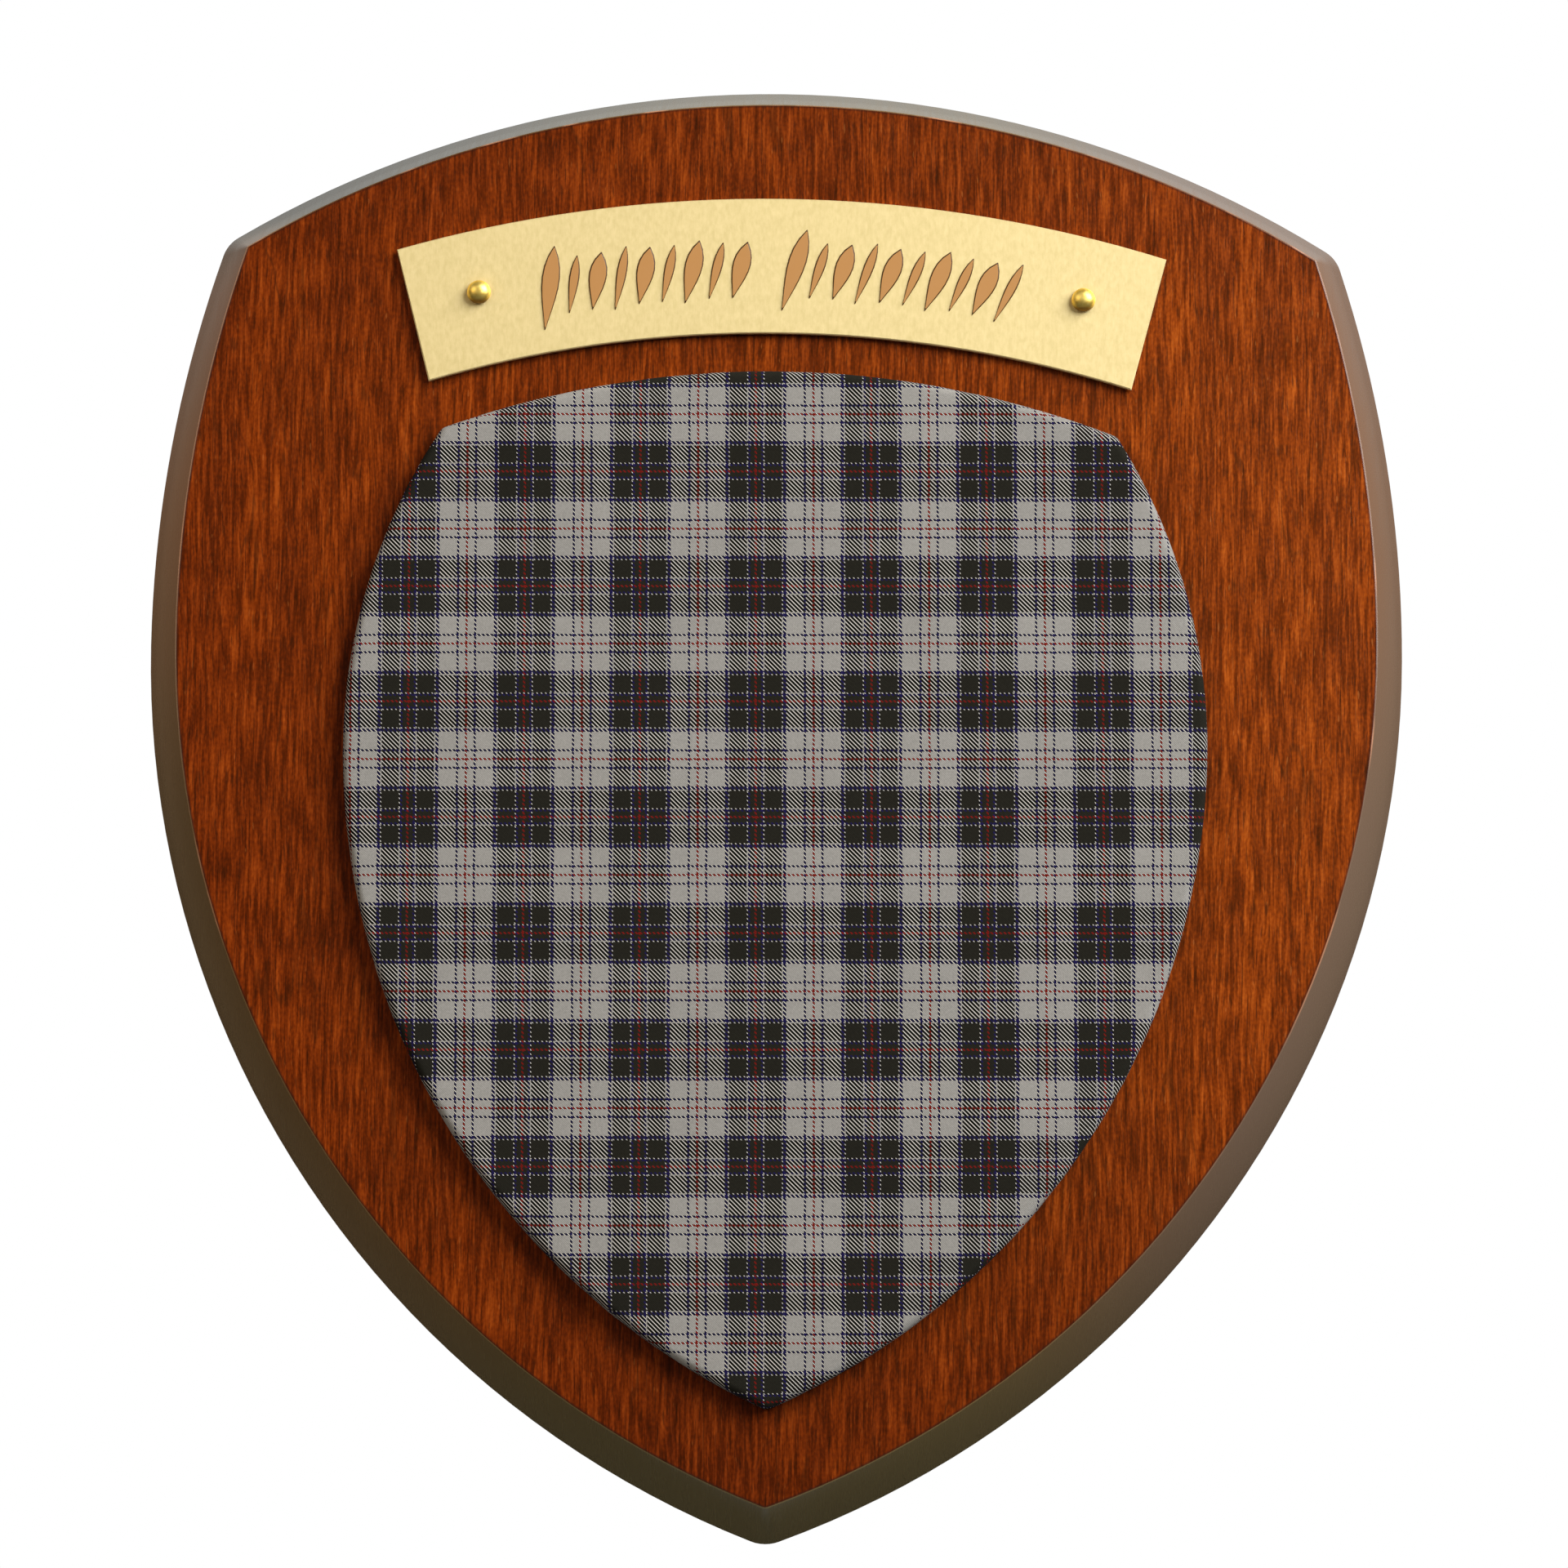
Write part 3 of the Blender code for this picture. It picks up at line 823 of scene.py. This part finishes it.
def light_studio():
    """The lights, and a world that is bright and cool above and behind, dim and warm below."""
    for light in LIGHTS:
        add_light(light)
    world = bpy.data.worlds.new("studio")
    bpy.context.scene.world = world
    world.use_nodes = True
    graph = Graph(world.node_tree)
    direction = graph.add("ShaderNodeTexCoord").outputs["Generated"]
    parts = graph.add("ShaderNodeSeparateXYZ", {0: direction}).outputs
    leftness = graph.product(graph.math("MINIMUM", parts["X"], 0.0), LEFT_DROP)
    height = graph.total(graph.span(parts["Z"], -1.0, 1.0), leftness)
    behind = graph.span(parts["Y"], *BEHIND_Y, smooth=True)
    glow = graph.mix(behind, graph.ramp(height, IN_FRONT), graph.ramp(height, BACKDROP))
    seen = graph.add("ShaderNodeLightPath").outputs["Is Camera Ray"]
    shown = graph.mix(seen, glow, SEEN_BACKDROP)
    background = graph.add("ShaderNodeBackground", {"Color": shown, "Strength": 1.0})
    graph.add("ShaderNodeOutputWorld", {"Surface": background.outputs[0]})


def make_floor():
    mesh = bmesh.new()
    bmesh.ops.create_circle(mesh, cap_ends=True, segments=FLOOR_SIDES, radius=FLOOR_RADIUS)
    floor = object_from("floor", mesh)
    floor.location.z = FLOOR_Z
    material, graph = new_material("pale_floor")
    cloudy = graph.noise(graph.position()[0], FLOOR_CLOUDS)
    graph.shader(
        Base_Color=graph.mix(cloudy, *FLOOR_TONES),
        Roughness=0.9,
        Specular_IOR_Level=0.2,
    )
    wear(floor, material)


def make_camera():
    """Looks up at the plaque from a little below, with a slight roll."""
    forward = Vector((0.0, cos(CAMERA_BELOW), sin(CAMERA_BELOW)))
    level_right = Vector((1.0, 0.0, 0.0))
    level_up = level_right.cross(forward)
    right = level_right * cos(CAMERA_ROLL) + level_up * sin(CAMERA_ROLL)
    up = level_up * cos(CAMERA_ROLL) - level_right * sin(CAMERA_ROLL)
    data = bpy.data.cameras.new("camera")
    data.sensor_width = SENSOR
    data.lens = CAMERA_LENS
    data.clip_start = CAMERA_CLIP_START
    camera = bpy.data.objects.new("camera", data)
    turn = Matrix((right, up, -forward)).transposed().to_4x4()
    camera.matrix_world = Matrix.Translation(CAMERA_AIM - forward * CAMERA_DISTANCE) @ turn
    bpy.context.scene.collection.objects.link(camera)
    bpy.context.scene.camera = camera


def set_view():
    view = bpy.context.scene.view_settings
    view.view_transform = "Standard"
    view.look = "None"


make_camera()
light_studio()
make_floor()
set_view()
dress_board(nodes["shield_board"])
dress_cloth(make_cloth())
dress_plate(nodes["name_plate"])
dress_pins(nodes["pin_left"], nodes["pin_right"])
soften(nodes["shield_board"], nodes["name_plate"], nodes["pin_left"], nodes["pin_right"])
